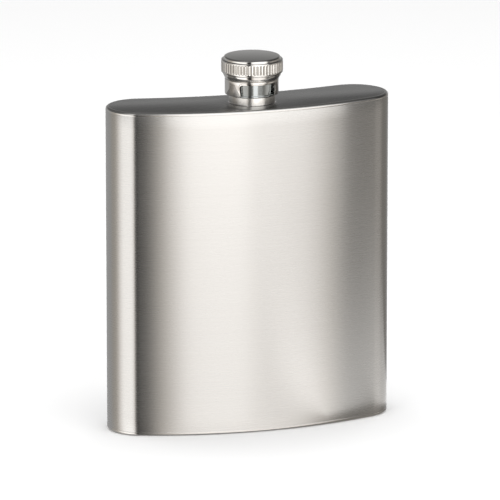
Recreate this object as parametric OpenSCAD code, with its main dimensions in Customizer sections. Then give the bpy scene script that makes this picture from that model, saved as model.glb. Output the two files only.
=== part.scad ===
// Kidney-section steel hip flask with a captive screw cap.
// Frame: millimetres, +Z up, +X along the wide side, the bulging front faces -Y.
// The origin is the centre of the resting face, in the middle of the whole outline.

/* [Body] */
// Overall width, tip to tip
body_w = 95; // [90:0.5:105]
// Height of the body, resting face to top plate
body_h = 107.7; // [70:0.5:140]
// Thickness through the middle, front to back
body_t = 24.8; // [23.5:0.1:25.5]
// Radius of the bulging front
front_arc_r = 120; // [105:1:150]
// Radius of the rounded narrow edges
end_r = 11.2; // [10.8:0.1:11.8]
// Thickness of the body sheet
sheet_t = 0.6; // [0.5:0.05:0.8]
// Thickness of the top and bottom plates
plate_t = 0.8; // [0.7:0.05:1]
// Radius of the dressed weld along both rims
rim_r = 0.9; // [0.8:0.05:1.1]
// Width of the seam weld down each narrow edge
seam_w = 1; // [0.6:0.1:2]

/* [Neck] */
// Radius of the polished collar
collar_r = 7.54; // [7.4:0.02:7.6]
// Height of the collar above the top plate
collar_h = 2.7; // [2.4:0.05:2.7]
// Radius of the pouring bore
bore_r = 4.6; // [4:0.1:4.7]
// Radius over the crests of the spout thread
spout_crest_r = 5.85; // [5.7:0.05:5.9]
// Height of the spout's lip above the top plate
spout_h = 6.6; // [6.2:0.1:6.7]
// Pitch of the thread
pitch = 1.6; // [1.4:0.1:1.8]

/* [Hood and hinge] */
// Outer radius of the hood
hood_r = 8.72; // [8.7:0.01:9]
// How far the hood's centre lies behind the neck axis
hood_back = 0.4; // [0.3:0.05:0.45]
// Thickness of the hood's sheet
hood_t = 0.6; // [0.5:0.05:0.6]
// Top of the hood above the top plate
hood_top = 8.15; // [8:0.05:8.2]
// Lowest edge of the hood's skirt above the top plate
skirt_z = 2.9; // [2.8:0.05:3]
// Half-width of the front window at its head
window_x = 6.1; // [5:0.1:6.5]
// Distance of the hinge axis behind the neck axis
hinge_y = 9.5; // [9.4:0.05:9.5]
// Height of the hinge axis above the top plate
hinge_z = 2.6; // [2.5:0.05:2.7]
// Outer radius of the hinge knuckle
knuckle_r = 1.1; // [1:0.05:1.1]
// Radius of the hinge pin
pin_r = 0.5; // [0.4:0.05:0.6]

/* [Cap] */
// Radius of the cap over its knurling
cap_r = 10; // [9.95:0.01:10.3]
// Height of the cap's crown above the top plate
cap_top = 15.5; // [15.4:0.05:15.8]
// Outer radius of the sleeve that turns inside the hood
sleeve_r = 7.2; // [7.1:0.02:7.24]
// Number of ribs round the cap
rib_count = 52; // [40:1:72]
// Depth of the ribs
rib_depth = 0.28; // [0.15:0.01:0.35]

/* [Hidden] */
$fn = 96;
wide_fn = 720;          // segments on the two large face arcs
fine = 0.01;            // overlap that makes unions watertight

// The section is drawn about the middle of the body's thickness: the front is one large arc, the back
// one hollow arc, and each narrow edge one round that meets both.
front_y = -body_t / 2;
back_y = body_t / 2;
end_bite = 0.02;        // how far the end rounds stand out of the large arcs, so that they cross them
meet_r = end_r - end_bite;
end_x = body_w / 2 - end_r;
end_y = front_y + front_arc_r - sqrt(pow(front_arc_r - meet_r, 2) - end_x * end_x);
end_drop = back_y - end_y;
back_arc_r = (end_x * end_x + end_drop * end_drop - meet_r * meet_r) / (2 * (meet_r - end_drop));
front_turn = asin(end_x / (front_arc_r - meet_r));   // where the end rounds meet the front
back_turn = asin(end_x / (back_arc_r + meet_r));     // where they meet the back, from straight behind
// The neck axis lies this far off the origin, so that the middle of the outline is over it.
shift_y = -round(5 * (end_y + end_r + front_y)) / 10;

rim_h = 1.2;            // height of each rim weld
rim_steps = 4;          // steps that round the rim weld off
plate_inset = 1.2;      // gap between a plate's edge and the outside of the body

spout_root_r = spout_crest_r - 0.45;
spout_base_r = 5.6;     // plain foot of the spout, inside the collar
flange_r = 7.3;         // clinch flange under the top plate
spout_foot = -plate_t - 0.8;
thread_turns = 2;

hood_in_r = hood_r - hood_t;
window_foot_x = window_x - 0.65;
window_z = hood_top - 1.15;
window_corner = 0.9;
ring_hole_r = sleeve_r + 0.1;
tongue_x = 1.25;        // half-width of the hood's knuckle
ear_in_x = 1.33;        // inner face of each bracket ear
ear_out_x = 2.35;       // outer face of each bracket ear
bracket_gap_x = 2.65;   // half-width of the cut in the skirt beside the bracket
pin_clear = 0.05;
pin_head_r = 0.75;
pin_head_t = 0.15;

sleeve_z = collar_h + 0.05;
sleeve_top = 11.9;
sleeve_root_r = sleeve_r - 0.4;
sleeve_crest_r = 6.5;
flange_h = 0.55;
sleeve_flange_r = 7.62;
gasket_r = 6.35;
gasket_z = spout_h + 0.03;
gasket_h = 1.15;
core_z = gasket_z + gasket_h + 0.05;
core_r = 9.1;
core_top = 14.7;
core_top_r = 8.65;      // the core steps in under the crown
core_waist_r = 8.5;     // the core narrows towards the head's foot
head_z = hood_top + 0.1;
band_z = 10.15;         // foot of the band
rib_z = 10.65;          // the ribs run between two smooth lips
rib_top = 13.85;
band_top = 14.3;
band_r = cap_r - rib_depth;
edge_r = cap_r - 0.03;  // the smooth lips
head_in_r = core_r + 0.05;
shell_t = 0.5;
crown_z = 15.3;         // edge of the crown's dome
crown_r = 8.6;
crown_round = 0.6;
dome_rise = cap_top - crown_z;
dome_arc_r = (crown_r * crown_r + dome_rise * dome_rise) / (2 * dome_rise);

function flip_x(p) = [-p[0], p[1]];

// Kidney-shaped block between z0 and z1, set in by d from the outside of the body.
module kidney(z0, z1, d = 0) {
    // the middle reaches out to the lines on which the end rounds meet the front and the back
    reach = 2.2 * end_r;
    right = [[end_x + reach * sin(front_turn), end_y - reach * cos(front_turn)],
             [end_x, end_y],
             [end_x - reach * sin(back_turn), end_y + reach * cos(back_turn)]];
    middle = concat(right, [for (i = [2 : -1 : 0]) flip_x(right[i])]);
    translate([0, shift_y, z0])
    union() {
        difference() {
            intersection() {
                linear_extrude(z1 - z0) polygon(middle);
                translate([0, front_y + front_arc_r, -fine])
                    cylinder(r = front_arc_r - d, h = z1 - z0 + 2 * fine, $fn = wide_fn);
            }
            translate([0, back_y + back_arc_r, -fine])
                cylinder(r = back_arc_r + d, h = z1 - z0 + 2 * fine, $fn = wide_fn);
        }
        for (s = [-1, 1])
            translate([s * end_x, end_y, 0]) cylinder(r = end_r - d, h = z1 - z0, $fn = 240);
    }
}

// Hollow kidney tube between two insets.
module kidney_ring(z0, z1, d_out, d_in) {
    difference() {
        kidney(z0, z1, d_out);
        kidney(z0 - fine, z1 + fine, d_in);
    }
}

// Places its children on the neck axis, with z = 0 at the top plate.
module on_neck() {
    translate([0, shift_y, body_h]) children();
}

// Solid turned about the neck axis from an outline of [radius, height] points.
module turned(points) {
    rotate_extrude() polygon(points);
}

// Thin slice of the sheet at one tip, where a seam runs: side = 1 is the right, -1 the left.
module seam_slot(side) {
    translate([side * body_w / 2 - 2, shift_y + end_y - seam_w / 2, -1])
        cube([4, seam_w, body_h + 2]);
}

// One pressed half of the body: side = -1 is the front, 1 the back.
module half_shell(side) {
    depth = 2 * body_t;
    seam_y = shift_y + end_y + side * seam_w / 2;
    intersection() {
        kidney_ring(rim_h, body_h - rim_h, 0, sheet_t);
        translate([-body_w, side < 0 ? seam_y - depth : seam_y, 0])
            cube([2 * body_w, depth, body_h]);
    }
}

module seam_weld(side) {
    intersection() {
        kidney_ring(rim_h, body_h - rim_h, 0, sheet_t);
        seam_slot(side);
    }
}

// Bead that joins a plate's edge to the sheet. It is rounded off towards z = 0.
module rim_weld() {
    function set_in(z) = rim_r - sqrt(rim_r * rim_r - pow(max(rim_r - z, 0), 2));
    step = rim_r / rim_steps;
    union() {
        for (i = [0 : rim_steps - 1])
            kidney_ring(i * step, (i + 1) * step,
                        set_in((i + 0.5) * step), i * step < plate_t - fine ? plate_inset : sheet_t);
        kidney_ring(rim_steps * step, rim_h, 0, sheet_t);
    }
}

module front_shell() {
    color([0.78, 0.77, 0.75]) half_shell(-1);
}

module back_shell() {
    color([0.76, 0.75, 0.73]) half_shell(1);
}

module left_seam_weld() {
    color([0.7, 0.7, 0.69]) seam_weld(-1);
}

module right_seam_weld() {
    color([0.7, 0.7, 0.69]) seam_weld(1);
}

module top_plate() {
    color([0.5, 0.5, 0.5])
    difference() {
        kidney(body_h - plate_t, body_h, plate_inset);
        on_neck() translate([0, 0, -2 * plate_t]) cylinder(r = spout_base_r, h = 3 * plate_t);
    }
}

module bottom_plate() {
    color([0.6, 0.6, 0.6]) kidney(0, plate_t, plate_inset);
}

module bottom_rim_weld() {
    color([0.72, 0.71, 0.7]) rim_weld();
}

module top_rim_weld() {
    color([0.72, 0.71, 0.7]) translate([0, 0, body_h]) mirror([0, 0, 1]) rim_weld();
}

module neck_collar() {
    edge = 0.2;
    color([0.85, 0.85, 0.84])
    on_neck() turned([[spout_base_r, 0], [collar_r, 0], [collar_r, collar_h - edge],
                      [collar_r - edge, collar_h], [spout_base_r, collar_h]]);
}

module neck_weld() {
    leg = 0.3;
    color([0.65, 0.65, 0.64])
    on_neck() difference() {
        turned([[collar_r, 0], [collar_r + leg, 0], [collar_r, leg]]);
        translate([-ear_out_x, 6, -1]) cube([2 * ear_out_x, 6, 3]);
    }
}

module threaded_spout() {
    lip = 0.25;
    crest = 0.25;
    flank = 0.4;
    color([0.75, 0.75, 0.74])
    on_neck() union() {
        turned([[bore_r, spout_foot], [flange_r, spout_foot], [flange_r, -plate_t],
                [spout_base_r, -plate_t], [spout_base_r, collar_h],
                [spout_root_r, collar_h], [spout_root_r, spout_h - lip],
                [spout_root_r - lip, spout_h], [bore_r + lip, spout_h],
                [bore_r, spout_h - lip]]);
        for (i = [0 : thread_turns - 1])
            translate([0, 0, collar_h + 0.9 + i * pitch])
                turned([[spout_root_r - 0.1, -flank - crest / 2], [spout_root_r, -flank - crest / 2],
                        [spout_crest_r, -crest / 2], [spout_crest_r, crest / 2],
                        [spout_root_r, flank + crest / 2], [spout_root_r - 0.1, flank + crest / 2]]);
    }
}

// Cylinder along X on the hinge axis, from x0 to x1.
module hinge_round(r, x0, x1) {
    translate([x0, hinge_y, hinge_z]) rotate([0, 90, 0]) cylinder(r = r, h = x1 - x0);
}

module hinge_bracket() {
    heel_y = 0.9;       // how far the bracket's foot reaches behind the hinge axis
    color([0.7, 0.7, 0.69])
    on_neck() difference() {
        union() {
            translate([-ear_out_x, collar_r - 0.8, 0])
                cube([2 * ear_out_x, hinge_y + heel_y - collar_r + 0.8, hinge_z - 0.3]);
            hinge_round(knuckle_r - 0.05, -ear_out_x, ear_out_x);
        }
        hinge_round(knuckle_r + 0.15, -ear_in_x, ear_in_x);
        translate([-ear_in_x, hinge_y - 2.2, hinge_z - 0.9]) cube([2 * ear_in_x, 5, 3]);
        hinge_round(pin_r, -ear_out_x - 1, ear_out_x + 1);
        translate([0, 0, -1]) cylinder(r = collar_r, h = 9);
    }
}

module hinge_pin() {
    color([0.6, 0.6, 0.6])
    on_neck() union() {
        hinge_round(pin_r, -ear_out_x, ear_out_x);
        hinge_round(pin_head_r, -ear_out_x - pin_head_t, -ear_out_x);
        hinge_round(pin_head_r, ear_out_x, ear_out_x + pin_head_t);
    }
}

// Block that opens the front of the hood, with rounded upper corners.
module window_cut() {
    depth = 9;
    translate([0, hood_back - 3, 0]) rotate([90, 0, 0])
    union() {
        linear_extrude(depth)
            polygon([[-window_foot_x, 0], [window_foot_x, 0],
                     [window_x, window_z - window_corner], [window_x - window_corner, window_z],
                     [-window_x + window_corner, window_z], [-window_x, window_z - window_corner]]);
        for (s = [-1, 1])
            translate([s * (window_x - window_corner), window_z - window_corner, 0])
                cylinder(r = window_corner, h = depth);
    }
}

module hinge_hood() {
    bend = 0.5;         // outer radius of the bend between the hood's top and its skirt
    color([0.8, 0.8, 0.79])
    on_neck() difference() {
        union() {
            difference() {
                translate([0, hood_back, 0])
                    turned([[6, hood_top - hood_t], [hood_in_r, hood_top - hood_t],
                            [hood_in_r, skirt_z], [hood_r, skirt_z], [hood_r, hood_top - bend],
                            [hood_r - 0.3 * bend, hood_top - 0.3 * bend],
                            [hood_r - bend, hood_top], [6, hood_top]]);
                translate([0, 0, hood_top - 2]) cylinder(r = ring_hole_r, h = 4);
                window_cut();
                translate([-bracket_gap_x, 4, 0]) cube([2 * bracket_gap_x, 8, hinge_z + 1.35]);
            }
            hinge_round(knuckle_r, -tongue_x, tongue_x);
            intersection() {
                translate([0, hood_back, 0]) difference() {
                    cylinder(r = hood_r, h = hood_top - 1);
                    translate([0, 0, -1]) cylinder(r = hood_in_r, h = hood_top + 1);
                }
                translate([-tongue_x, 6, hinge_z]) cube([2 * tongue_x, 5, 2]);
            }
        }
        hinge_round(pin_r + pin_clear, -tongue_x - 1, tongue_x + 1);
    }
}

module cap_gasket() {
    color([0.92, 0.92, 0.9])
    on_neck() translate([0, 0, gasket_z]) cylinder(r = gasket_r, h = gasket_h);
}

module cap_sleeve() {
    crest = 0.2;
    flank = 0.35;
    chamfer = 0.25;
    color([0.72, 0.75, 0.78])
    on_neck() union() {
        turned([[sleeve_root_r + chamfer, sleeve_z], [sleeve_flange_r - 0.1, sleeve_z],
                [sleeve_flange_r, sleeve_z + 0.1], [sleeve_flange_r, sleeve_z + flange_h],
                [sleeve_r, sleeve_z + flange_h], [sleeve_r, sleeve_top],
                [sleeve_root_r, sleeve_top], [sleeve_root_r, sleeve_z + chamfer]]);
        for (i = [0 : thread_turns - 1])
            translate([0, 0, sleeve_z + 1.35 + i * pitch])
                turned([[sleeve_root_r + 0.1, -flank - crest / 2], [sleeve_root_r, -flank - crest / 2],
                        [sleeve_crest_r, -crest / 2], [sleeve_crest_r, crest / 2],
                        [sleeve_root_r, flank + crest / 2], [sleeve_root_r + 0.1, flank + crest / 2]]);
    }
}

module cap_core() {
    color([0.9, 0.9, 0.88])
    on_neck() turned([[0, core_z], [sleeve_root_r, core_z], [sleeve_root_r, sleeve_top],
                      [sleeve_r, sleeve_top], [sleeve_r, head_z + shell_t],
                      [core_waist_r - 0.05, head_z + shell_t], [core_r, band_z],
                      [core_r, rib_top - 0.2], [core_top_r, rib_top], [core_top_r, core_top],
                      [0, core_top]]);
}

// Ribbed outline of the knurled band: each rib is a flat-topped tooth.
module rib_outline() {
    pitch_angle = 360 / rib_count;
    polygon([for (i = [0 : rib_count - 1])
             for (p = [[0.14, band_r], [0.3, cap_r], [0.7, cap_r], [0.86, band_r]])
             let (a = (i + p[0]) * pitch_angle) [p[1] * cos(a), p[1] * sin(a)]]);
}

module cap_shell() {
    lip_r = sleeve_r + 0.02;
    foot_r = cap_r - 1.15;
    wall_r = crown_r + crown_round;
    seat_r = core_top_r + 0.02;
    color([0.8, 0.8, 0.79])
    on_neck() union() {
        // Underside, spun in round the sleeve, the cone up to the band, and the lower smooth lip.
        turned([[lip_r, head_z], [foot_r, head_z], [foot_r + 0.27, head_z + 0.6],
                [foot_r + 0.52, band_z - 0.9], [foot_r + 0.55, band_z - 0.2],
                [edge_r - 0.12, band_z - 0.06], [edge_r, band_z + 0.1],
                [edge_r, rib_z], [head_in_r, rib_z], [head_in_r, band_z],
                [core_waist_r, head_z + shell_t], [lip_r, head_z + shell_t]]);
        // Ribs.
        translate([0, 0, rib_z]) difference() {
            linear_extrude(rib_top - rib_z) rib_outline();
            translate([0, 0, -1]) cylinder(r = head_in_r, h = rib_top - rib_z + 2);
        }
        // Upper smooth lip with its ledge, and the rounded wall of the crown.
        turned(concat(
            [[head_in_r, rib_top], [edge_r, rib_top], [edge_r, band_top - 0.2],
             [edge_r - 0.06, band_top - 0.06], [edge_r - 0.2, band_top], [wall_r, band_top]],
            [for (a = [0 : 18 : 90])
             [crown_r + crown_round * cos(a), crown_z - crown_round * (1 - sin(a))]],
            [[0, crown_z], [0, core_top + 0.02], [seat_r, core_top + 0.02], [seat_r, rib_top + 0.1]]));
        // Shallow dome on the crown.
        translate([0, 0, crown_z]) intersection() {
            translate([0, 0, dome_rise - dome_arc_r]) sphere(r = dome_arc_r, $fn = wide_fn);
            translate([0, 0, -0.05]) cylinder(r = crown_r, h = dome_rise + 0.1);
        }
    }
}

front_shell();
back_shell();
left_seam_weld();
right_seam_weld();
top_plate();
bottom_plate();
top_rim_weld();
bottom_rim_weld();
neck_collar();
neck_weld();
threaded_spout();
hinge_bracket();
hinge_pin();
hinge_hood();
cap_gasket();
cap_shell();
cap_sleeve();
cap_core();
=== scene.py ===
import math

import bmesh
import bpy
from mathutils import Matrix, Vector


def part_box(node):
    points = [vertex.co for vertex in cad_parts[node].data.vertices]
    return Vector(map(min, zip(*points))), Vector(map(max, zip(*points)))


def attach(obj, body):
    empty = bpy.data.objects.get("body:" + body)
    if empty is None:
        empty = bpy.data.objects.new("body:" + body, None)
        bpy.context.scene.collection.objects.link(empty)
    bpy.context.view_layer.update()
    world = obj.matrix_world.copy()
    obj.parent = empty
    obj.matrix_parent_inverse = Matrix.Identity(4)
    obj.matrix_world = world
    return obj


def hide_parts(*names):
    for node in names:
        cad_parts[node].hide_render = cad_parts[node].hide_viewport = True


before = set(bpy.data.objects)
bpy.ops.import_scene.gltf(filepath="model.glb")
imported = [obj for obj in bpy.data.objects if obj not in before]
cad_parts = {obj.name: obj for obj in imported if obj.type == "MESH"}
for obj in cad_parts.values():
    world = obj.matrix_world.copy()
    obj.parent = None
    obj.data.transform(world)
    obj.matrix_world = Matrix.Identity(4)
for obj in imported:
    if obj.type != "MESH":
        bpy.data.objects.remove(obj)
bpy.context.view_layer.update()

MM = 0.001
TAU = 2 * math.pi


def box_mm(node):
    """Lowest and highest corner of a CAD node, in millimetres."""
    lo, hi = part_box(node)
    return lo / MM, hi / MM


# ---------------------------------------------------------------- places, in millimetres, from the CAD boxes

collar_lo, collar_hi = box_mm("neck_collar")
rim_lo, rim_hi = box_mm("top_rim_weld")
plate_lo, plate_hi = box_mm("top_plate")
cap_box_hi = box_mm("cap_shell")[1]

TOP = plate_hi.z                           # the top plate's upper face
AXIS_Y = (collar_lo.y + collar_hi.y) / 2   # the neck axis
WIDTH = rim_hi.x - rim_lo.x

# ---------------------------------------------------------------- sizes of the body, as in the CAD

THICK = 24.8            # through the middle of the body
FRONT_R = 120.0         # the bulging front's arc
END_ROUND = 11.2        # the rounded narrow edges
END_BITE = 0.02         # how far the CAD's end rounds stand out of the large arcs
SHEET = 0.6
PLATE_T = 0.8
PLATE_INSET = 1.2
RIM_H = 1.2             # the rim welds' height, and the radius of their outer round
RIM_R = 0.9
SEAM_W = 1.0
GROOVE = 0.05           # depth of the fine line where a dressed weld meets the sheet
GROOVE_H = 0.14         # height over which the sheet dips into it

# ---------------------------------------------------------------- the kidney section

FRONT_Y = AXIS_Y - THICK / 2
BACK_Y = AXIS_Y + THICK / 2
END_R = END_ROUND - END_BITE
END_X = WIDTH / 2 - END_ROUND
END_Y = FRONT_Y + FRONT_R - math.sqrt((FRONT_R - END_R) ** 2 - END_X ** 2)
DROP = BACK_Y - END_Y
BACK_R = (END_X ** 2 + DROP ** 2 - END_R ** 2) / (2 * (END_R - DROP))
FRONT_TURN = math.asin(END_X / (FRONT_R - END_R))
BACK_TURN = math.asin(END_X / (BACK_R + END_R))
SEAM_TURN = math.asin(SEAM_W / 2 / END_ROUND)


def arc_points(cx, cy, r, a0, a1, n):
    """n + 1 points along an arc from angle a0 to a1."""
    return [(cx + r * math.cos(a0 + (a1 - a0) * i / n), cy + r * math.sin(a0 + (a1 - a0) * i / n))
            for i in range(n + 1)]


def half_path(side, d, n_end=56, n_arc=72):
    """Right-hand half of one face at inset d, from the seam to the middle: side -1 is the front."""
    if side < 0:
        end = arc_points(END_X, END_Y, END_R - d, -SEAM_TURN, FRONT_TURN - math.pi / 2, n_end)
        face = arc_points(0, FRONT_Y + FRONT_R, FRONT_R - d, FRONT_TURN - math.pi / 2, -math.pi / 2, n_arc)
    else:
        end = arc_points(END_X, END_Y, END_R - d, SEAM_TURN, math.pi / 2 + BACK_TURN, n_end)
        face = arc_points(0, BACK_Y + BACK_R, BACK_R + d, BACK_TURN - math.pi / 2, -math.pi / 2, n_arc)
    return end + face[1:]


def face_path(side, d):
    """One whole face, seam to seam, from right to left."""
    half = half_path(side, d)
    return half + [(-x, y) for x, y in reversed(half[:-1])]


def seam_path(side, d, n=6):
    """The weld's slice of an end, from the front's edge to the back's: side 1 is the right."""
    return [(side * x, y) for x, y in arc_points(END_X, END_Y, END_R - d, -SEAM_TURN, SEAM_TURN, n)]


def closed_path(d):
    """The whole outline, anticlockwise from the right-hand seam."""
    back = face_path(1, d)
    left = seam_path(-1, d)[::-1]
    front = face_path(-1, d)[::-1]
    right = seam_path(1, d)
    return back + left[1:-1] + front + right[1:-1]


def lengths(path):
    """Distance along a path at each of its points."""
    total, out = 0.0, [0.0]
    for p, q in zip(path, path[1:]):
        total += math.hypot(q[0] - p[0], q[1] - p[1])
        out.append(total)
    return out


# ---------------------------------------------------------------- mesh helpers

def new_object(name, verts, faces, uvs, sharp_deg=40):
    """Mesh object from millimetre points. uvs gives a (u, v) in millimetres for each corner of each face."""
    mesh = bpy.data.meshes.new(name)
    mesh.from_pydata([(x * MM, y * MM, z * MM) for x, y, z in verts], [], faces)
    layer = mesh.uv_layers.new(name="UVMap")
    layer.data.foreach_set("uv", [c for face in uvs for uv in face for c in uv])
    bm = bmesh.new()
    bm.from_mesh(mesh)
    bmesh.ops.recalc_face_normals(bm, faces=bm.faces)
    bm.to_mesh(mesh)
    bm.free()
    finish_shading(mesh, sharp_deg)
    obj = bpy.data.objects.new(name, mesh)
    bpy.context.scene.collection.objects.link(obj)
    return obj


def finish_shading(mesh, sharp_deg):
    """Smooth shading, with the edges over an angle kept sharp."""
    mesh.polygons.foreach_set("use_smooth", [True] * len(mesh.polygons))
    mesh.set_sharp_from_angle(angle=math.radians(sharp_deg))
    mesh.update()


def grid_faces(rows, cols, wrap_cols, u_of, v_of, u_end, v_end):
    """Faces and uvs of a rows x cols grid whose last row joins the first. u runs along a row, v across it."""
    faces, uvs = [], []
    for j in range(rows):
        j2 = (j + 1) % rows
        v0, v1 = v_of[j], v_of[j + 1] if j + 1 < rows else v_end
        for i in range(cols if wrap_cols else cols - 1):
            i2 = (i + 1) % cols
            u0, u1 = u_of[i], u_of[i + 1] if i + 1 < cols else u_end
            faces.append((j * cols + i, j * cols + i2, j2 * cols + i2, j2 * cols + i))
            uvs.append(((u0, v0), (u1, v0), (u1, v1), (u0, v1)))
    return faces, uvs


def strip_solid(name, path_at, rows):
    """Closed wall between two insets. rows are (z, outer inset, inner inset), and path_at(d) gives the points
    at inset d."""
    loop = [(z, d) for z, d, _ in rows] + [(z, d) for z, _, d in reversed(rows)]
    verts = []
    for z, d in loop:
        verts += [(x, y, z) for x, y in path_at(d)]
    cols = len(path_at(0.0))
    u_of = lengths(path_at(0.0))
    v_of = [z for z, _ in loop]
    faces, uvs = grid_faces(len(loop), cols, False, u_of, v_of, u_of[-1], v_of[0])
    n = len(rows)
    for i in (0, cols - 1):                # close the two long edges, where the seams run
        for j in range(n - 1):
            a, b = j * cols + i, (j + 1) * cols + i
            c, e = (2 * n - 2 - j) * cols + i, (2 * n - 1 - j) * cols + i
            faces.append((a, b, c, e))
            uvs.append(((0, loop[j][0]), (0, loop[j + 1][0]), (SHEET, loop[j + 1][0]), (SHEET, loop[j][0])))
    return new_object(name, verts, faces, uvs)


def ring_solid(name, profile):
    """Closed profile of (z, inset) swept round the whole outline."""
    base = closed_path(0.0)
    cols = len(base)
    u_of = lengths(base)
    u_end = u_of[-1] + math.hypot(base[0][0] - base[-1][0], base[0][1] - base[-1][1])
    verts = []
    for z, d in profile:
        verts += [(x, y, z) for x, y in closed_path(d)]
    v_of = lengths(profile)
    v_end = v_of[-1] + math.dist(profile[0], profile[-1])
    faces, uvs = grid_faces(len(profile), cols, True, u_of, v_of, u_end, v_end)
    return new_object(name, verts, faces, uvs)


def fillet(points, radii, steps=4):
    """Rounds the corners of a polygon, each with its own radius."""
    n = len(points)
    out = []
    for i, (p, r) in enumerate(zip(points, radii)):
        if r <= 0:
            out.append(p)
            continue
        c = Vector(p)
        u, v = Vector(points[i - 1]) - c, Vector(points[(i + 1) % n]) - c
        room = 0.45 * min(u.length, v.length)          # a round takes less than half of either side
        u.normalize()
        v.normalize()
        angle = math.acos(max(-1, min(1, u.dot(v))))
        cut = min(r / math.tan(angle / 2), room)
        r = cut * math.tan(angle / 2)
        centre = c + (u + v).normalized() * (r / math.sin(angle / 2))
        start, end = c + u * cut - centre, c + v * cut - centre
        a0, a1 = math.atan2(start.y, start.x), math.atan2(end.y, end.x)
        turn = (a1 - a0 + math.pi) % TAU - math.pi
        for k in range(steps + 1):
            t = a0 + turn * k / steps
            out.append((centre.x + r * math.cos(t), centre.y + r * math.sin(t)))
    return out


def split_long(points, longest):
    """Adds points so that no side of a closed profile is longer than this."""
    out = []
    for p, q in zip(points, points[1:] + points[:1]):
        k = max(1, math.ceil(math.dist(p, q) / longest))
        out += [(p[0] + (q[0] - p[0]) * j / k, p[1] + (q[1] - p[1]) * j / k) for j in range(k)]
    return out


def about_neck(r, a, z):
    """Point at radius r and angle a about the neck axis, at height z over the top plate."""
    return r * math.cos(a), AXIS_Y + r * math.sin(a), TOP + z


def lathe(name, profile, spot=about_neck, segments=192, warp=None, sharp_deg=40):
    """Solid turned about an axis. profile is (radius, height): a closed loop, or an open line that starts and
    ends on the axis. spot(r, a, z) gives a point, and warp(a, r, z) returns a changed radius."""
    on_axis = profile[0][0] == 0
    big = max(r for r, _ in profile)
    v_of = lengths(profile)
    v_end = v_of[-1] + math.dist(profile[0], profile[-1])
    verts, rows = [], []
    for r, z in profile:
        if r == 0:
            rows.append([len(verts)] * segments)
            verts.append(spot(0, 0, z))
            continue
        rows.append(list(range(len(verts), len(verts) + segments)))
        for i in range(segments):
            a = TAU * i / segments
            verts.append(spot(warp(a, r, z) if warp else r, a, z))
    faces, uvs = [], []
    n = len(rows)
    for j in range(n - 1 if on_axis else n):
        j2 = (j + 1) % n
        v0, v1 = v_of[j], v_of[j + 1] if j + 1 < n else v_end
        for i in range(segments):
            i2 = (i + 1) % segments
            u0, u1 = TAU * big * i / segments, TAU * big * (i + 1) / segments
            face = [rows[j][i], rows[j][i2], rows[j2][i2], rows[j2][i]]
            uv = [(u0, v0), (u1, v0), (u1, v1), (u0, v1)]
            if face[0] == face[1]:           # a triangle at the axis
                face, uv = face[1:], uv[1:]
            elif face[2] == face[3]:
                face, uv = face[:3], uv[:3]
            faces.append(tuple(face))
            uvs.append(tuple(uv))
    return new_object(name, verts, faces, uvs, sharp_deg)


def flat_plate(name, z0, z1, inset, hole_r=0.0, edge=0.12):
    """Kidney plate with eased edges, whole or with a round hole about the neck axis."""
    rows = [(inset + edge, z0), (inset, z0 + edge), (inset, z1 - edge),
            (inset + edge * 0.3, z1 - edge * 0.3), (inset + edge, z1)]
    rings = [[(x, y, z) for x, y in closed_path(d)] for d, z in rows]
    if hole_r:
        turns = [math.atan2(y - AXIS_Y, x) for x, y in closed_path(0.0)]
        rings += [[(hole_r * math.cos(a), AXIS_Y + hole_r * math.sin(a), z) for a in turns] for z in (z1, z0)]
    n = len(rings[0])
    verts = [point for ring in rings for point in ring]
    ids = [list(range(k * n, (k + 1) * n)) for k in range(len(rings))]
    steps = list(zip(ids, ids[1:] + ids[:1])) if hole_r else list(zip(ids, ids[1:]))
    faces = [(a[i], a[(i + 1) % n], b[(i + 1) % n], b[i]) for a, b in steps for i in range(n)]
    if not hole_r:
        faces += [tuple(ids[-1]), tuple(reversed(ids[0]))]
    uvs = [tuple((verts[v][0], verts[v][1]) for v in face) for face in faces]
    return new_object(name, verts, faces, uvs)


def prism(name, outline, axis, a, b):
    """Extrudes a closed outline from a to b. Axis 'x' takes (y, z) points, 'y' (x, z) and 'z' (x, y)."""
    def point(p, t):
        return {"x": (t, p[0], p[1]), "y": (p[0], t, p[1]), "z": (p[0], p[1], t)}[axis]
    n = len(outline)
    verts = [point(p, a) for p in outline] + [point(p, b) for p in outline]
    faces = [tuple(range(n)), tuple(range(2 * n - 1, n - 1, -1))]
    faces += [(i, (i + 1) % n, n + (i + 1) % n, n + i) for i in range(n)]
    uvs = [tuple((verts[v][0] + verts[v][1], verts[v][2]) for v in face) for face in faces]
    return new_object(name, verts, faces, uvs)


def box_outline(p0, q0, p1, q1):
    """Rectangle from one corner to the opposite one."""
    return [(p0, q0), (p1, q0), (p1, q1), (p0, q1)]


def circle(cx, cy, r, n=48):
    """Outline of n sides, anticlockwise."""
    return [(cx + r * math.cos(TAU * i / n), cy + r * math.sin(TAU * i / n)) for i in range(n)]


def combine(obj, cutters, operation="DIFFERENCE", bevel=0.0, bevel_deg=40):
    """Booleans obj with each cutter in turn and removes the cutters. bevel eases the edges, in millimetres."""
    for i, cutter in enumerate(cutters):
        mod = obj.modifiers.new(f"cut{i}", "BOOLEAN")
        mod.operation = operation
        mod.solver = "EXACT"
        mod.object = cutter
    if bevel:
        mod = obj.modifiers.new("ease", "BEVEL")
        mod.width = bevel * MM
        mod.segments = 2
        mod.limit_method = "ANGLE"
        mod.angle_limit = math.radians(bevel_deg)
        mod.use_clamp_overlap = False
    bpy.context.view_layer.update()
    graph = bpy.context.evaluated_depsgraph_get()
    mesh = bpy.data.meshes.new_from_object(obj.evaluated_get(graph))
    obj.modifiers.clear()
    old = obj.data
    obj.data = mesh
    bpy.data.meshes.remove(old)
    for cutter in cutters:
        data = cutter.data
        bpy.data.objects.remove(cutter)
        bpy.data.meshes.remove(data)
    finish_shading(mesh, 35)
    mesh.name = obj.name


# ---------------------------------------------------------------- node helpers

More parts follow.
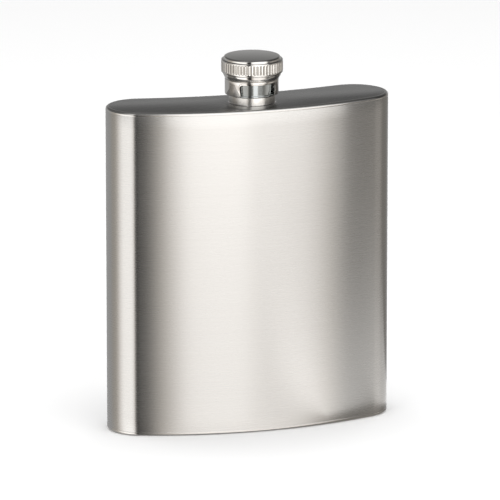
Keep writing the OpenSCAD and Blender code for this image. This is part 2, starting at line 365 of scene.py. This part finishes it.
class Nodes:
    """Adds and links the nodes of one tree. An input is a value, or the socket that feeds it."""

    def __init__(self, owner):
        owner.use_nodes = True
        self.tree = owner.node_tree
        self.tree.nodes.clear()

    def add(self, kind, inputs=None, **attrs):
        node = self.tree.nodes.new(kind)
        for key, value in attrs.items():
            setattr(node, key, value)
        for key, value in (inputs or {}).items():
            if isinstance(value, bpy.types.NodeSocket):
                self.tree.links.new(value, node.inputs[key])
            else:
                node.inputs[key].default_value = value
        return node

    def math(self, op, a, b=0.0, clamp=False):
        return self.add("ShaderNodeMath", {0: a, 1: b}, operation=op, use_clamp=clamp).outputs[0]

    def swing(self, noise, size):
        """A noise value's distance from its middle, times size."""
        return self.math("MULTIPLY", self.math("SUBTRACT", noise, 0.5), size)

    def ramp(self, factor, stops):
        """Colour ramp from (position, grey or colour) stops."""
        node = self.add("ShaderNodeValToRGB", {0: factor})
        elements = node.color_ramp.elements
        while len(elements) < len(stops):
            elements.new(0.5)
        for element, (position, value) in zip(elements, sorted(stops)):
            element.position = position
            colour = value if isinstance(value, tuple) else (value,) * 3
            element.color = (*colour, 1)
        return node.outputs[0]

    def span(self, value, lo, hi, to_lo=0.0, to_hi=1.0):
        """Smooth step from to_lo to to_hi as value goes from lo to hi."""
        return self.add("ShaderNodeMapRange", {0: value, 1: lo, 2: hi, 3: to_lo, 4: to_hi},
                        interpolation_type="SMOOTHSTEP").outputs[0]

    def mix(self, factor, a, b):
        return self.add("ShaderNodeMix", {0: factor, 6: a, 7: b}, data_type="RGBA").outputs[2]

    def tint(self, colour, gain):
        """A colour times a gain that varies over the surface."""
        return self.add("ShaderNodeVectorMath", {0: colour, "Scale": gain}, operation="SCALE").outputs[0]

    def object_mm(self):
        """The object's own coordinates, in millimetres."""
        coords = self.add("ShaderNodeTexCoord").outputs["Object"]
        return self.add("ShaderNodeVectorMath", {0: coords, 1: (1 / MM,) * 3}, operation="MULTIPLY").outputs[0]

    def streaks(self, vector, scale, detail=3.0, rough=0.6, w=0.0):
        """Noise stretched by scale = (along, across, third) per millimetre. w tells one from another."""
        mapping = self.add("ShaderNodeMapping",
                           {"Vector": vector, "Location": (w, w * 1.7, w * 0.6), "Scale": scale})
        noise = self.add("ShaderNodeTexNoise", {"Vector": mapping.outputs[0], "Scale": 1.0, "Detail": detail,
                                                "Roughness": rough})
        return noise.outputs["Fac"]

    def bump(self, height, strength, depth_mm):
        return self.add("ShaderNodeBump", {"Strength": strength, "Distance": depth_mm * MM,
                                           "Height": height}).outputs[0]


def close_material(mat, n, inputs):
    """Ends a material in one Principled shader."""
    shader = n.add("ShaderNodeBsdfPrincipled", inputs)
    n.add("ShaderNodeOutputMaterial", {0: shader.outputs[0]})
    return mat


SMUDGES = (0.045, 0.045, 0.03)             # scale of the faint smudges, per millimetre


def metal(name, colour, roughness, anisotropic=0.0, along_uv=True, fine=(0.05, 6.0, 1.0),
          broad=(0.012, 0.55, 1.0), colour_swing=0.05, rough_swing=0.05, bump=0.3, bump_depth=0.002,
          smudge=0.04):
    """Stainless steel. Fine and broad streaks follow the uv map, or the object's own space, and faint smudges
    lie over them. An anisotropic steel is brushed along u."""
    mat = bpy.data.materials.new(name)
    n = Nodes(mat)
    space = n.object_mm()
    vector = n.add("ShaderNodeUVMap", uv_map="UVMap").outputs[0] if along_uv else space
    lines = n.streaks(vector, fine, 3.0, 0.65)
    bands = n.streaks(vector, broad, 2.0, 0.5, 13.0)
    patches = n.streaks(space, SMUDGES, 2.0, 0.5, 41.0)
    swing = n.math("ADD", n.swing(lines, colour_swing * 2), n.swing(bands, colour_swing))
    swing = n.math("ADD", swing, n.swing(patches, smudge))
    rough = n.math("ADD", roughness, n.swing(lines, rough_swing * 2))
    inputs = {"Base Color": n.tint(colour, n.math("ADD", 1.0, swing)), "Metallic": 1.0,
              "Roughness": n.math("ADD", rough, n.swing(patches, rough_swing), clamp=True),
              "Normal": n.bump(lines, bump, bump_depth)}
    if anisotropic:
        tangent = n.add("ShaderNodeTangent", direction_type="UV_MAP", uv_map="UVMap").outputs[0]
        inputs.update({"Anisotropic": anisotropic, "Anisotropic Rotation": 0.25, "Tangent": tangent})
    return close_material(mat, n, inputs)


def soft_plastic(name, colour, roughness, subsurface, speck=0.03):
    """Moulded plastic or silicone with a fine grain."""
    mat = bpy.data.materials.new(name)
    n = Nodes(mat)
    grain = n.streaks(n.object_mm(), (1.6, 1.6, 1.6))
    gain = n.math("ADD", 1.0 - speck, n.math("MULTIPLY", grain, 2 * speck))
    return close_material(mat, n, {
        "Base Color": n.tint(colour, gain), "IOR": 1.45,
        "Roughness": n.math("ADD", roughness, n.swing(grain, 0.12), clamp=True),
        "Subsurface Weight": subsurface, "Subsurface Scale": 0.002, "Normal": n.bump(grain, 0.25, 0.02)})


BRUSHED = metal("brushed_steel", (0.66, 0.65, 0.635), 0.27, anisotropic=0.96, fine=(0.035, 9.0, 1.0),
                broad=(0.008, 1.4, 1.0), colour_swing=0.035, bump=0.13, smudge=0.05)
SATIN = metal("satin_steel", (0.60, 0.595, 0.585), 0.28, anisotropic=0.5, fine=(0.08, 5.0, 1.0),
              colour_swing=0.03)
WELD = metal("weld_steel", (0.67, 0.655, 0.635), 0.16, fine=(0.6, 3.0, 1.0), broad=(0.25, 0.5, 1.0),
             colour_swing=0.06, bump_depth=0.006)
POLISHED = metal("polished_steel", (0.76, 0.745, 0.72), 0.075, fine=(0.3, 5.0, 1.0), colour_swing=0.03,
                 rough_swing=0.03, bump_depth=0.0006)
HOOD_STEEL = metal("hood_steel", (0.74, 0.72, 0.695), 0.07, along_uv=False, fine=(0.5, 0.5, 6.0),
                   broad=(0.3, 0.3, 0.8), colour_swing=0.03, rough_swing=0.03, bump_depth=0.0006)
COLLAR_STEEL = metal("collar_steel", (0.84, 0.82, 0.785), 0.3, anisotropic=0.8, fine=(0.05, 7.0, 1.0),
                     colour_swing=0.04, bump_depth=0.001)
TURNED = metal("turned_steel", (0.44, 0.465, 0.47), 0.1, anisotropic=0.6, fine=(0.02, 7.0, 1.0),
               broad=(0.02, 1.6, 1.0), colour_swing=0.10, bump_depth=0.004)
SILICONE = soft_plastic("silicone", (0.84, 0.84, 0.81), 0.45, 0.35)
WHITE_PLASTIC = soft_plastic("white_plastic", (0.86, 0.855, 0.83), 0.4, 0.15)


def place(obj, node, body, material):
    """The piece takes a node's place on a body, with the material given."""
    obj.data.materials.clear()
    obj.data.materials.append(material)
    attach(obj, body)
    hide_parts(node)


# ---------------------------------------------------------------- body

SHEET_ROWS = 24
sheet_z0 = RIM_H + GROOVE_H
sheet_z1 = TOP - sheet_z0
sheet_rows = [(RIM_H, GROOVE, SHEET)]
sheet_rows += [(sheet_z0 + (sheet_z1 - sheet_z0) * k / SHEET_ROWS, 0.0, SHEET) for k in range(SHEET_ROWS + 1)]
sheet_rows += [(TOP - RIM_H, GROOVE, SHEET)]

for side, word in ((-1, "front"), (1, "back")):
    place(strip_solid(f"body_{word}", lambda d: face_path(side, d), sheet_rows), f"{word}_shell", "flask",
          BRUSHED)
for side, word in ((1, "right"), (-1, "left")):
    place(strip_solid(f"body_seam_{word}", lambda d: seam_path(side, d), sheet_rows), f"{word}_seam_weld",
          "flask", BRUSHED)


def rim_profile(round_steps=8):
    """(height over the outer face, inset) of a rim weld, as a closed loop."""
    curve = [(RIM_R - RIM_R * math.sin(t), RIM_R - RIM_R * math.cos(t))
             for t in (math.pi / 2 * k / round_steps for k in range(round_steps + 1))]
    return [(RIM_H, GROOVE), (RIM_H - 0.1, 0.012)] + curve + [
        (0.0, PLATE_INSET - 0.04), (0.04, PLATE_INSET), (PLATE_T, PLATE_INSET), (PLATE_T, SHEET + 0.15),
        (PLATE_T + 0.15, SHEET), (RIM_H, SHEET)]


place(ring_solid("rim_bottom", rim_profile()), "bottom_rim_weld", "flask", WELD)
place(ring_solid("rim_top", [(TOP - z, d) for z, d in rim_profile()]), "top_rim_weld", "flask",
      WELD)

# ---------------------------------------------------------------- plates and neck

COLLAR_R = collar_hi.x
COLLAR_H = collar_hi.z - TOP
SPOUT_BASE_R = 5.6
BORE_R = 4.6
FLANGE_R = 7.3
CREST_R = 5.85
ROOT_R = CREST_R - 0.45
SPOUT_H = 6.6
PITCH = 1.6
BEAD = 0.3                                 # leg of the weld round the collar
HINGE_Y = AXIS_Y + 9.5
HINGE_Z = TOP + 2.6
KNUCKLE = 1.1                              # radius of the hood's knuckle
EAR_IN, EAR_OUT = 1.33, 2.35               # the bracket's ears, from the middle
PIN_R = 0.5

place(flat_plate("plate_top", plate_lo.z, TOP, PLATE_INSET, hole_r=SPOUT_BASE_R), "top_plate", "flask",
      SATIN)
place(flat_plate("plate_bottom", 0.0, PLATE_T, PLATE_INSET), "bottom_plate", "flask", SATIN)

collar = [(SPOUT_BASE_R, 0), (COLLAR_R, 0), (COLLAR_R, COLLAR_H), (SPOUT_BASE_R, COLLAR_H)]
place(lathe("collar", fillet(collar, [0, 0.02, 0.24, 0.05])), "neck_collar", "flask",
      COLLAR_STEEL)


def weld_ripple(a, r, z):
    """The bead's scales, on its outside only."""
    return r + (0.018 * math.sin(46 * a) if COLLAR_R + 0.02 < r < COLLAR_R + BEAD - 0.02 else 0.0)


bead = [(COLLAR_R + 0.005, 0.0), (COLLAR_R + BEAD, 0.0), (COLLAR_R + BEAD * 0.62, BEAD * 0.2),
        (COLLAR_R + BEAD * 0.25, BEAD * 0.5), (COLLAR_R + 0.005, BEAD)]
neck_bead = lathe("collar_weld", bead, segments=288, warp=weld_ripple)
notch = prism("notch", box_outline(-EAR_OUT, AXIS_Y + 6, EAR_OUT, AXIS_Y + 12), "z", TOP - 1, TOP + 2)
combine(neck_bead, [notch])
place(neck_bead, "neck_weld", "flask", WELD)


def tooth(t):
    """Rounded trapezoid thread form, 0 to 1, for t from 0 to 1 along the pitch."""
    t = abs(t % 1.0 - 0.5) * 2             # 0 at the crest, 1 midway between crests
    x = max(0.0, min(1.0, (0.66 - t) / 0.42))
    return x * x * (3 - 2 * x)


def thread(a, r, z, root_r, depth, z0, z1, phase=0.0):
    """Radius on a helical thread cut on root_r between z0 and z1, where it fades out over 0.5 mm."""
    if abs(r - root_r) > 1e-4 or not z0 < z < z1:
        return r
    fade = min(1.0, (z - z0) / 0.5, (z1 - z) / 0.5)
    return r + depth * fade * tooth(z / PITCH - a / TAU + phase)


def spout_thread(a, r, z):
    return thread(a, r, z, ROOT_R, CREST_R - ROOT_R, COLLAR_H + 0.25, SPOUT_H - 0.3)


spout = [(BORE_R, -2 * PLATE_T), (FLANGE_R, -2 * PLATE_T), (FLANGE_R, -PLATE_T), (SPOUT_BASE_R, -PLATE_T),
         (SPOUT_BASE_R, COLLAR_H), (ROOT_R, COLLAR_H), (ROOT_R, SPOUT_H), (BORE_R, SPOUT_H)]
spout = split_long(fillet(spout, [0.1, 0.1, 0, 0, 0.08, 0.05, 0.22, 0.22]), 0.09)
place(lathe("spout", spout, segments=144, warp=spout_thread), "threaded_spout", "flask",
      TURNED)

# ---------------------------------------------------------------- hinge

foot_y = AXIS_Y + 6.7
foot_z = HINGE_Z - 0.3
bracket = prism("bracket", box_outline(foot_y, TOP, HINGE_Y + 0.9, foot_z), "x", -EAR_OUT, EAR_OUT)
ears = prism("ears", circle(HINGE_Y, HINGE_Z, KNUCKLE - 0.05), "x", -EAR_OUT, EAR_OUT)
combine(bracket, [ears], "UNION")
combine(bracket, [
    prism("slot_cut", circle(HINGE_Y, HINGE_Z, KNUCKLE + 0.15), "x", -EAR_IN, EAR_IN),
    prism("gap_cut", box_outline(HINGE_Y - 2.2, HINGE_Z - 0.9, HINGE_Y + 2.8, HINGE_Z + 2.1),
          "x", -EAR_IN, EAR_IN),
    prism("pin_cut", circle(HINGE_Y, HINGE_Z, PIN_R), "x", -EAR_OUT - 1, EAR_OUT + 1),
    prism("neck_cut", circle(0, AXIS_Y, COLLAR_R, 192), "z", TOP - 1, TOP + 8)], bevel=0.09, bevel_deg=50)
place(bracket, "hinge_bracket", "flask", HOOD_STEEL)


def about_hinge(r, a, x):
    """Point at radius r and angle a about the hinge pin, at x along it."""
    return x, HINGE_Y + r * math.cos(a), HINGE_Z + r * math.sin(a)


PIN_END = EAR_OUT + 0.15                   # a domed head stands on each ear
half_pin = [(0, PIN_END), (0.45, PIN_END - 0.01), (0.66, PIN_END - 0.05), (0.75, EAR_OUT + 0.04),
            (0.75, EAR_OUT), (PIN_R, EAR_OUT)]
pin = lathe("pin", half_pin + [(r, -x) for r, x in reversed(half_pin)], about_hinge, segments=48)
place(pin, "hinge_pin", "flask", HOOD_STEEL)

# ---------------------------------------------------------------- hood

HOOD_R = 8.72
HOOD_IN = HOOD_R - 0.6
HOOD_Y = AXIS_Y + 0.4                      # the hood's own axis
HOOD_TOP = 8.15
SKIRT = 2.9                                # its lower edge, over the top plate
LID_IN_R = 6.0                             # where the hood's lid starts, inside the cut ring
RING_R = 7.3
WIN_X, WIN_FOOT_X, WIN_Z = 6.1, 5.45, 7.0  # the window's half widths at its head and foot, and its head
KNUCKLE_X = 1.25                           # half the knuckle's length
LINK_STEPS = 6


def about_hood(r, a, z):
    return r * math.cos(a), HOOD_Y + r * math.sin(a), TOP + z


def link_arc(r):
    """Arc of the hood's back wall, as wide as the knuckle."""
    turn = math.asin(KNUCKLE_X / r)
    return [(r * math.sin(turn * (k / LINK_STEPS - 1)), HOOD_Y + r * math.cos(turn * (k / LINK_STEPS - 1)))
            for k in range(2 * LINK_STEPS + 1)]


lid_z = HOOD_TOP - 0.6
hood_line = [(LID_IN_R, lid_z), (HOOD_IN, lid_z), (HOOD_IN, SKIRT), (HOOD_R, SKIRT), (HOOD_R, HOOD_TOP),
             (LID_IN_R, HOOD_TOP)]
hood = lathe("hood", fillet(hood_line, [0, 0.2, 0.06, 0.18, 0.5, 0], steps=6), about_hood, segments=240)
window = fillet([(-WIN_FOOT_X, -0.2), (WIN_FOOT_X, -0.2), (WIN_X, WIN_Z), (-WIN_X, WIN_Z)],
                [0, 0, 0.9, 0.9], steps=8)
combine(hood, [
    prism("ring_cut", circle(0, AXIS_Y, RING_R, 192), "z", TOP + HOOD_TOP - 2, TOP + HOOD_TOP + 2),
    prism("window_cut", [(x, TOP + z) for x, z in window], "y", AXIS_Y - 12, AXIS_Y - 2.6),
    prism("back_cut", box_outline(-2.65, AXIS_Y + 4, 2.65, AXIS_Y + 12), "z", TOP, HINGE_Z + 1.35)])
combine(hood, [
    prism("knuckle", circle(HINGE_Y, HINGE_Z, KNUCKLE), "x", -KNUCKLE_X, KNUCKLE_X),
    prism("tongue", link_arc(HOOD_R) + link_arc(HOOD_IN)[::-1], "z", HINGE_Z, HINGE_Z + 1.8)], "UNION")
bore_cut = prism("bore_cut", circle(HINGE_Y, HINGE_Z, PIN_R + 0.05), "x", -3, 3)
combine(hood, [bore_cut], bevel=0.08)
place(hood, "hinge_hood", "hood", HOOD_STEEL)

# ---------------------------------------------------------------- cap, in heights over the top plate

CAP_R = 10.0
CAP_TOP = cap_box_hi.z - TOP
RIBS = 52
RIB_DEPTH = 0.28
RIB_RUNOUT = 0.22                          # height over which a rib's ends run out
BAND_R = CAP_R - RIB_DEPTH
LIP_R = CAP_R - 0.03                       # the smooth lips over and under the ribs
BAND_Z, RIB_Z, RIB_TOP, BAND_TOP = 10.15, 10.65, 13.85, 14.3
CROWN_R, CROWN_Z, CROWN_ROUND = 8.6, 15.3, 0.6
HEAD_Z = HOOD_TOP + 0.1                    # the shell's lower end, just over the hood
SHELL_IN = 9.15                            # the shell's inner radius behind the band
SLEEVE_R = 7.2
SLEEVE_ROOT = 6.8
SLEEVE_CREST = 6.5
SLEEVE_FOOT_R = 7.62
SLEEVE_FOOT_H = 0.55
SLEEVE_Z = COLLAR_H + 0.05
SLEEVE_TOP = 11.9


def ribs(a, r, z):
    """Half-round ribs round the band, whose valleys run out into the lips."""
    if r < BAND_R or not RIB_Z <= z <= RIB_TOP:
        return r
    off = abs((a * RIBS / TAU) % 1.0 - 0.5) * 2        # 0 at the middle of a rib, 1 in the valley
    crest = math.sqrt(1 - min(0.97, off) ** 2)
    end = max(0.0, min(1.0, (z - RIB_Z) / RIB_RUNOUT, (RIB_TOP - z) / RIB_RUNOUT))
    depth = math.sqrt(1 - (1 - end) ** 2)
    return r + depth * ((CAP_R - LIP_R) * crest - (LIP_R - BAND_R) * (1 - crest))


band = [(LIP_R, RIB_Z + (RIB_TOP - RIB_Z) * k / 30) for k in range(31)]
# the stepped cone under the band, and the rounded lip over it
cone = [(SLEEVE_R + 0.02, HEAD_Z)]
cone += [(r, HEAD_Z + dz) for r, dz in (
    (8.76, 0), (8.84, 0.06), (8.9, 0.2), (9.08, 0.52), (9.2, 0.72), (9.32, 0.92), (9.37, 1.1))]
cone += [(r, BAND_Z + dz) for r, dz in (
    (9.39, -0.42), (9.41, -0.26), (9.47, -0.17), (9.7, -0.11), (9.86, -0.05), (9.93, 0.02), (LIP_R, 0.14))]
cone.append((LIP_R, RIB_Z - 0.06))
# the upper lip, the ledge inside it, and the crown's round
wall_r = CROWN_R + CROWN_ROUND
shoulder = [(LIP_R, RIB_TOP + 0.06)]
shoulder += [(r, BAND_TOP + dz) for r, dz in (
    (LIP_R, -0.2), (LIP_R - 0.03, -0.1), (LIP_R - 0.1, -0.03), (LIP_R - 0.2, 0), (wall_r + 0.12, 0),
    (wall_r + 0.03, 0.03), (wall_r, 0.12))]
shoulder += [(CROWN_R + CROWN_ROUND * math.cos(t), CROWN_Z - CROWN_ROUND * (1 - math.sin(t)))
             for t in (math.pi / 2 * k / 10 for k in range(10))]
dome_rise = CAP_TOP - CROWN_Z
dome_r = (CROWN_R ** 2 + dome_rise ** 2) / (2 * dome_rise)
dome = [(r, CAP_TOP - dome_r + math.sqrt(dome_r ** 2 - r ** 2))
        for r in (CROWN_R * (1 - k / 20) for k in range(21))]
inside = [(0, 14.72), (8.67, 14.72), (8.67, 13.95), (SHELL_IN, RIB_TOP), (SHELL_IN, BAND_Z),
          (8.5, HEAD_Z + 0.5), (SLEEVE_R + 0.02, HEAD_Z + 0.5)]
# the line starts on the axis over the crown, and ends on it under the crown
cap_line = dome[::-1] + shoulder[::-1] + band[::-1] + cone[::-1] + inside[::-1]
cap = lathe("cap", cap_line, segments=RIBS * 16, warp=ribs, sharp_deg=50)
place(cap, "cap_shell", "cap", POLISHED)


def sleeve_thread(a, r, z):
    return thread(a, r, z, SLEEVE_ROOT, SLEEVE_CREST - SLEEVE_ROOT, SLEEVE_Z + 0.6, SLEEVE_Z + 4.0, 0.5)


sleeve = [(SLEEVE_ROOT, SLEEVE_Z), (SLEEVE_FOOT_R, SLEEVE_Z), (SLEEVE_FOOT_R, SLEEVE_Z + SLEEVE_FOOT_H),
          (SLEEVE_R, SLEEVE_Z + SLEEVE_FOOT_H), (SLEEVE_R, SLEEVE_TOP), (SLEEVE_ROOT, SLEEVE_TOP)]
sleeve = split_long(fillet(sleeve, [0.2, 0.1, 0.1, 0.03, 0, 0]), 0.09)
place(lathe("sleeve", sleeve, warp=sleeve_thread), "cap_sleeve", "cap", TURNED)

GASKET_Z = SPOUT_H + 0.03                  # closed, the gasket lies just over the spout
GASKET_T = 1.15
CORE_Z = GASKET_Z + GASKET_T + 0.05
CORE_R = SHELL_IN - 0.05
CORE_TOP_R = 8.65
CORE_TOP = 14.7

core = [(0, CORE_Z), (SLEEVE_ROOT, CORE_Z), (SLEEVE_ROOT, SLEEVE_TOP), (SLEEVE_R, SLEEVE_TOP),
        (SLEEVE_R, HEAD_Z + 0.5), (8.45, HEAD_Z + 0.5), (CORE_R, BAND_Z), (CORE_R, RIB_TOP - 0.2),
        (CORE_TOP_R, RIB_TOP), (CORE_TOP_R, CORE_TOP), (0, CORE_TOP)]
place(lathe("core", core, segments=96), "cap_core", "cap", WHITE_PLASTIC)

gasket = [(r, GASKET_Z + dz) for r, dz in (
    (0, 0), (6.1, 0), (6.28, 0.08), (6.35, 0.25), (6.35, GASKET_T - 0.25), (6.28, GASKET_T - 0.08),
    (6.1, GASKET_T), (0, GASKET_T))]
place(lathe("gasket", gasket, segments=96), "cap_gasket", "seal", SILICONE)

# ---------------------------------------------------------------- floor

HALF_FLOOR = 4.0
FLOOR_Z = -5e-5
floor_mesh = bpy.data.meshes.new("floor")
corners = box_outline(-HALF_FLOOR, -HALF_FLOOR, HALF_FLOOR, HALF_FLOOR)
floor_mesh.from_pydata([(x, y, FLOOR_Z) for x, y in corners], [], [(0, 1, 2, 3)])
floor = bpy.data.objects.new("floor", floor_mesh)
bpy.context.scene.collection.objects.link(floor)
floor_mat = bpy.data.materials.new("floor_white")
fn = Nodes(floor_mat)
matt = fn.add("ShaderNodeBsdfDiffuse", {"Color": (0.93, 0.93, 0.93, 1), "Roughness": 0.0})
fn.add("ShaderNodeOutputMaterial", {0: matt.outputs[0]})
floor.data.materials.append(floor_mat)
floor.visible_glossy = False               # the steel mirrors the studio's ring of light and its cards instead
floor.visible_shadow = False

# ---------------------------------------------------------------- studio

world = bpy.data.worlds.new("studio")
bpy.context.scene.world = world
wn = Nodes(world)
direction = wn.add("ShaderNodeTexCoord").outputs["Generated"]
xyz = wn.add("ShaderNodeSeparateXYZ", {0: direction})
azimuth = wn.math("ARCTAN2", xyz.outputs[0], wn.math("MULTIPLY", xyz.outputs[1], -1.0))
turn = wn.math("ADD", wn.math("DIVIDE", azimuth, TAU), 0.5)
elevation = wn.math("MULTIPLY", wn.math("ARCSINE", xyz.outputs[2]), 180 / math.pi)

RAMP_TOP = 2.0                             # radiance at a ramp value of 1
REAR_LOW, REAR_HIGH = 0.2, 0.06            # ramp values of the rear wall, near the floor and high up
CEILING = (0.09, 0.09, 0.09, 1)
DEEP = (0.1, 0.1, 0.1, 1)                  # straight below
# angles in degrees over which one part of the studio gives way to the next: elevations, and for the rear
# wall also the azimuth on either side
MIRROR_FROM, MIRROR_TO = (-14.2, -13.0), (-8.0, -9.2)
UPPER_FROM = (4.0, 15.0)
REAR_RISE = (3.0, 24.0)
REAR_SIDE = (122.0, 142.0)
CEILING_FROM = (50.0, 68.0)
DEEP_FROM = (-55.0, -75.0)


def ring_of_light(stops):
    """Radiance round the horizon from (azimuth in degrees, radiance): 0 is straight ahead, + to the right."""
    return wn.ramp(turn, [((a + 180) / 360, v / RAMP_TOP) for a, v in stops])


# what the brushed body mirrors: bright on the left, a dark strip beside it, the wide pale front, a dark right
broad_light = ring_of_light([
    (-180, 0.22), (-161, 0.2), (-150, 0.26), (-131, 0.46), (-110, 0.55), (-92, 1.12), (-76, 1.58),
    (-50, 1.55), (-40, 1.25), (-36, 0.2), (-32, 0.03), (-24, 0.03), (-21, 0.05), (-19, 0.25), (-17, 0.52),
    (-12.6, 0.88), (-9.5, 1.04), (-6.5, 1.22), (2, 1.27), (18, 1.27), (25, 1.22), (31.7, 1.2), (36.8, 1.0),
    (42, 0.6), (46, 0.28), (52, 0.17), (54, 0.14), (63, 0.3), (82, 0.26), (110, 0.25), (150, 0.22),
    (180, 0.21)])
# a narrow level, just under the horizon, that only the polished neck and cap resolve
mirror_light = ring_of_light([
    (-180, 0.5), (-150, 0.5), (-135, 0.4), (-122, 0.2), (-97, 0.24), (-92, 0.9), (-80, 1.1), (-68, 0.7),
    (-38, 0.6), (-33, 0.22), (-17, 0.18), (-12, 0.4), (-8, 1.9), (10, 1.9), (16, 0.35), (45, 0.3), (62, 0.8),
    (80, 1.0), (88, 0.6), (95, 0.24), (130, 0.18), (155, 0.1), (180, 0.5)])
# the walls over the flask: pale in front, dark at the sides
upper = ring_of_light([
    (-180, 0.23), (-150, 0.23), (-125, 0.14), (-95, 0.12), (-70, 0.4), (-50, 0.75), (-41, 0.7), (-36, 0.34),
    (-32, 0.15), (-22, 0.15), (-18, 0.4), (-8, 0.75), (0, 0.8), (25, 0.75), (45, 0.35), (62, 0.15),
    (80, 0.05), (125, 0.06), (150, 0.2), (180, 0.23)])

mirror_level = wn.math("MULTIPLY", wn.span(elevation, *MIRROR_FROM), wn.span(elevation, *MIRROR_TO))
sky = wn.mix(mirror_level, broad_light, mirror_light)
warmth = wn.ramp(sky, [(0.0, (1.0, 0.97, 0.91)), (0.12, (1.0, 0.95, 0.88)), (0.3, (1.0, 0.93, 0.84)),
                       (0.5, (1.0, 0.955, 0.91)), (0.75, (1.0, 0.985, 0.965))])
sky = wn.add("ShaderNodeVectorMath", {0: sky, 1: warmth}, operation="MULTIPLY").outputs[0]
sky = wn.mix(wn.span(elevation, *UPPER_FROM), sky, upper)
rear_value = wn.span(elevation, *REAR_RISE, REAR_LOW, REAR_HIGH)
rear = wn.add("ShaderNodeCombineColor", {i: rear_value for i in range(3)}).outputs[0]
behind = wn.span(wn.math("ABSOLUTE", azimuth), *(math.radians(a) for a in REAR_SIDE))
sky = wn.mix(behind, sky, rear)
sky = wn.mix(wn.span(elevation, *CEILING_FROM), sky, CEILING)
sky = wn.mix(wn.span(elevation, *DEEP_FROM), sky, DEEP)
background = wn.add("ShaderNodeBackground", {"Color": sky, "Strength": RAMP_TOP})
wn.add("ShaderNodeOutputWorld", {0: background.outputs[0]})


def area(name, location, target, size, power, glossy=True):
    """Rectangular light that faces target and that the camera doesn't see. Places and sizes are in metres."""
    light = bpy.data.lights.new(name, "AREA")
    light.shape = "RECTANGLE"
    light.size, light.size_y = size
    light.energy = power
    obj = bpy.data.objects.new(name, light)
    obj.location = location
    obj.rotation_mode = "QUATERNION"
    obj.rotation_quaternion = (Vector(target) - Vector(location)).to_track_quat("-Z", "Y")
    obj.visible_camera = False
    obj.visible_glossy = glossy
    bpy.context.scene.collection.objects.link(obj)


area("overhead", (0.0, 0.1, 1.6), (0, 0, 0), (1.6, 1.6), 29.8, glossy=False)
# close in front, over the neck's line of sight: it lightens the face towards its top
area("front_card", (0.085, -0.24, 0.218), (0.085, 0.0, 0.218), (0.35, 0.30), 0.212)
# the lit floor on the right, in front and beside: both cards stay clear of the body
area("low_card", (0.0875, -0.0485, 0.001), (0.0875, -0.0485, 1.0), (0.125, 0.066), 0.0142)
area("side_card", (0.1, 0.0075, 0.001), (0.1, 0.0075, 1.0), (0.1, 0.045), 0.0078)

# ---------------------------------------------------------------- camera

CAM_AZ = math.radians(17.132)              # from straight in front, to the left
CAM_TILT = math.radians(14.1)              # downwards
CAM_DIST = 2036.5                          # level distance from the origin, in millimetres
CAM_SIDE = -0.151                          # small shifts that place the flask in the frame
CAM_BACK = 0.15
CAM_HEIGHT = 569.245
LENS = 463.907                             # a long lens from far away: the uprights run almost parallel
level = Vector((math.sin(CAM_AZ), math.cos(CAM_AZ), 0))
right = Vector((math.cos(CAM_AZ), -math.sin(CAM_AZ), 0))
cam_data = bpy.data.cameras.new("camera")
cam_data.sensor_width = 36.0
cam_data.lens = LENS
cam_data.clip_start, cam_data.clip_end = 0.1, 30.0
camera = bpy.data.objects.new("camera", cam_data)
bpy.context.scene.collection.objects.link(camera)
camera.location = (right * CAM_SIDE - level * CAM_DIST + Vector((0, -CAM_BACK, CAM_HEIGHT))) * MM
look = level * math.cos(CAM_TILT) - Vector((0, 0, math.sin(CAM_TILT)))
camera.rotation_mode = "QUATERNION"
camera.rotation_quaternion = look.to_track_quat("-Z", "Y")
bpy.context.scene.camera = camera
bpy.context.scene.view_settings.view_transform = "Standard"
bpy.context.scene.view_settings.look = "None"
